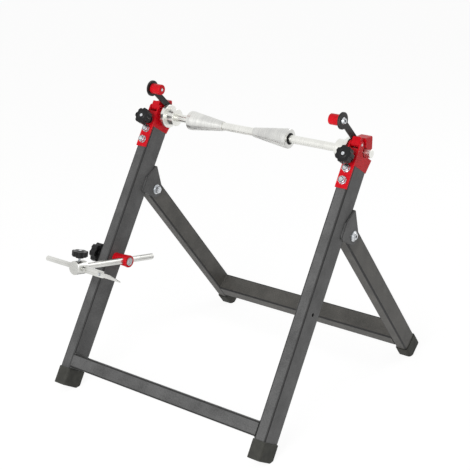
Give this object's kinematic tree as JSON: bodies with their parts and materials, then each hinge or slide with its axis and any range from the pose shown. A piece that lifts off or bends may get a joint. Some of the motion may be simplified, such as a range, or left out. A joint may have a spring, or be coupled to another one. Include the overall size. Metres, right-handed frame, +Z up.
{
  "type": "wheel balancing stand",
  "caption": "Folding A-frame stand that carries a wheel on a ball-bearing shaft between centring cones, with a runout gauge clamped to one upright.",
  "frame": {"origin": "On the floor, at the middle of the overall box", "axes": "+Z is up, +Y points to the rear frame, +X points along the shaft to the viewer's right"},
  "size_m": [0.69, 0.754, 0.7365],
  "materials": {
    "frame_paint": "anthracite powder coat with a fine grain",
    "red_paint": "bright red gloss powder coat",
    "rubber": "dull black moulded rubber",
    "knob_plastic": "black satin moulded plastic",
    "black_steel": "black oxide steel",
    "turned_steel": "bright turned and plated steel",
    "turned_aluminium": "satin turned aluminium",
    "zinc": "bright zinc-plated steel"
  },
  "bodies": {
    "frame": {"upright_left": "frame_paint", "upright_right": "frame_paint", "front_crossbar": "frame_paint", "foot_front_left": "rubber", "foot_front_right": "rubber", "hinge_bracket_left": "frame_paint", "hinge_bracket_right": "frame_paint", "frame_bolts": "zinc", "frame_nuts": "zinc", "frame_washers": "zinc", "head_bracket_left": "red_paint", "head_bracket_right": "red_paint", "cradle_left": "red_paint", "cradle_right": "red_paint", "bearing_outer_left": "zinc", "bearing_outer_right": "zinc", "keeper_pins": "zinc"},
    "rear_frame": {"rear_leg_left": "frame_paint", "rear_leg_right": "frame_paint", "rear_crossbar": "frame_paint", "foot_rear_left": "rubber", "foot_rear_right": "rubber", "hinge_bushes": "zinc"},
    "shaft": {"balance_shaft": "turned_steel", "bearing_inner_left": "zinc", "bearing_inner_right": "zinc", "collar_left": "turned_steel", "collar_right": "turned_steel", "collar_screws": "black_steel"},
    "balls_left": {"bearing_balls_left": "zinc"},
    "balls_right": {"bearing_balls_right": "zinc"},
    "cone_left": {"cone_left": "turned_aluminium", "cone_screw_left": "black_steel", "cone_ring_left": "rubber"},
    "cone_right": {"cone_right": "turned_aluminium", "cone_screw_right": "black_steel", "cone_ring_right": "rubber"},
    "keeper_left": {"keeper_cap_left": "red_paint", "keeper_lever_left": "black_steel", "keeper_grip_left": "red_paint", "keeper_bolt_left": "zinc"},
    "keeper_right": {"keeper_cap_right": "red_paint", "keeper_lever_right": "black_steel", "keeper_grip_right": "red_paint", "keeper_bolt_right": "zinc"},
    "head_knob_left": {"head_knob_left": "knob_plastic", "head_stud_left": "zinc"},
    "head_knob_right": {"head_knob_right": "knob_plastic", "head_stud_right": "zinc"},
    "gauge_sleeve": {"gauge_sleeve": "red_paint", "gauge_plug": "zinc"},
    "gauge_bar": {"gauge_bar": "turned_steel", "gauge_block": "turned_steel"},
    "gauge_pointer": {"gauge_pointer": "turned_steel", "pointer_tip": "turned_steel", "pointer_screw": "zinc"},
    "gauge_knob_small": {"gauge_knob_small": "knob_plastic", "gauge_screw_small": "zinc"},
    "gauge_knob_large": {"gauge_knob_large": "knob_plastic", "gauge_stud_large": "zinc"}
  },
  "joints": [
    {"name": "rear_fold", "type": "hinge", "parent": "frame", "child": "rear_frame", "pos_m": [0.013, -0.00426, 0.44613], "axis": [1, 0, 0], "range_deg": [-70, 0]},
    {"name": "shaft_spin", "type": "hinge", "parent": "frame", "child": "shaft", "pos_m": [0.013, 0.04204, 0.63535], "axis": [1, 0, 0], "continuous": true},
    {"name": "balls_left_roll", "type": "hinge", "parent": "frame", "child": "balls_left", "pos_m": [0.013, 0.04204, 0.63535], "axis": [1, 0, 0], "continuous": true},
    {"name": "balls_right_roll", "type": "hinge", "parent": "frame", "child": "balls_right", "pos_m": [0.013, 0.04204, 0.63535], "axis": [1, 0, 0], "continuous": true},
    {"name": "cone_left_slide", "type": "slide", "parent": "shaft", "child": "cone_left", "axis": [1, 0, 0], "range_m": [-0.035, 0.04]},
    {"name": "cone_right_slide", "type": "slide", "parent": "shaft", "child": "cone_right", "axis": [1, 0, 0], "range_m": [-0.04, 0.1]},
    {"name": "keeper_left_lift", "type": "hinge", "parent": "frame", "child": "keeper_left", "pos_m": [0.013, 0.02529, 0.6576], "axis": [1, 0, 0], "range_deg": [0, 35]},
    {"name": "keeper_right_lift", "type": "hinge", "parent": "frame", "child": "keeper_right", "pos_m": [0.013, 0.02529, 0.6576], "axis": [1, 0, 0], "range_deg": [0, 35]},
    {"name": "head_knob_left_turn", "type": "hinge", "parent": "frame", "child": "head_knob_left", "pos_m": [-0.287, 0.00177, 0.6275], "axis": [0, -0.848, 0.5299], "range_deg": [0, 360]},
    {"name": "head_knob_right_turn", "type": "hinge", "parent": "frame", "child": "head_knob_right", "pos_m": [0.313, 0.00177, 0.6275], "axis": [0, -0.848, 0.5299], "range_deg": [0, 360]},
    {"name": "gauge_swing", "type": "hinge", "parent": "frame", "child": "gauge_sleeve", "pos_m": [-0.272, -0.16568, 0.30291], "axis": [1, 0, 0], "range_deg": [-70, 30]},
    {"name": "gauge_bar_slide", "type": "slide", "parent": "gauge_sleeve", "child": "gauge_bar", "axis": [0, 0.9796, -0.2011], "range_m": [-0.07, 0.06]},
    {"name": "gauge_pointer_slide", "type": "slide", "parent": "gauge_bar", "child": "gauge_pointer", "axis": [1, 0, 0], "range_m": [0, 0.075]},
    {"name": "gauge_knob_small_turn", "type": "hinge", "parent": "gauge_bar", "child": "gauge_knob_small", "pos_m": [-0.24, -0.33172, 0.33699], "axis": [0, 0.2011, 0.9796], "range_deg": [0, 360]},
    {"name": "gauge_knob_large_turn", "type": "hinge", "parent": "frame", "child": "gauge_knob_large", "pos_m": [-0.272, -0.16568, 0.30291], "axis": [-1, 0, 0], "range_deg": [0, 360]}
  ],
  "couplings": [
    {"joint": "balls_left_roll", "follows": "shaft_spin", "ratio": 0.39758},
    {"joint": "balls_right_roll", "follows": "shaft_spin", "ratio": 0.39758}
  ]
}
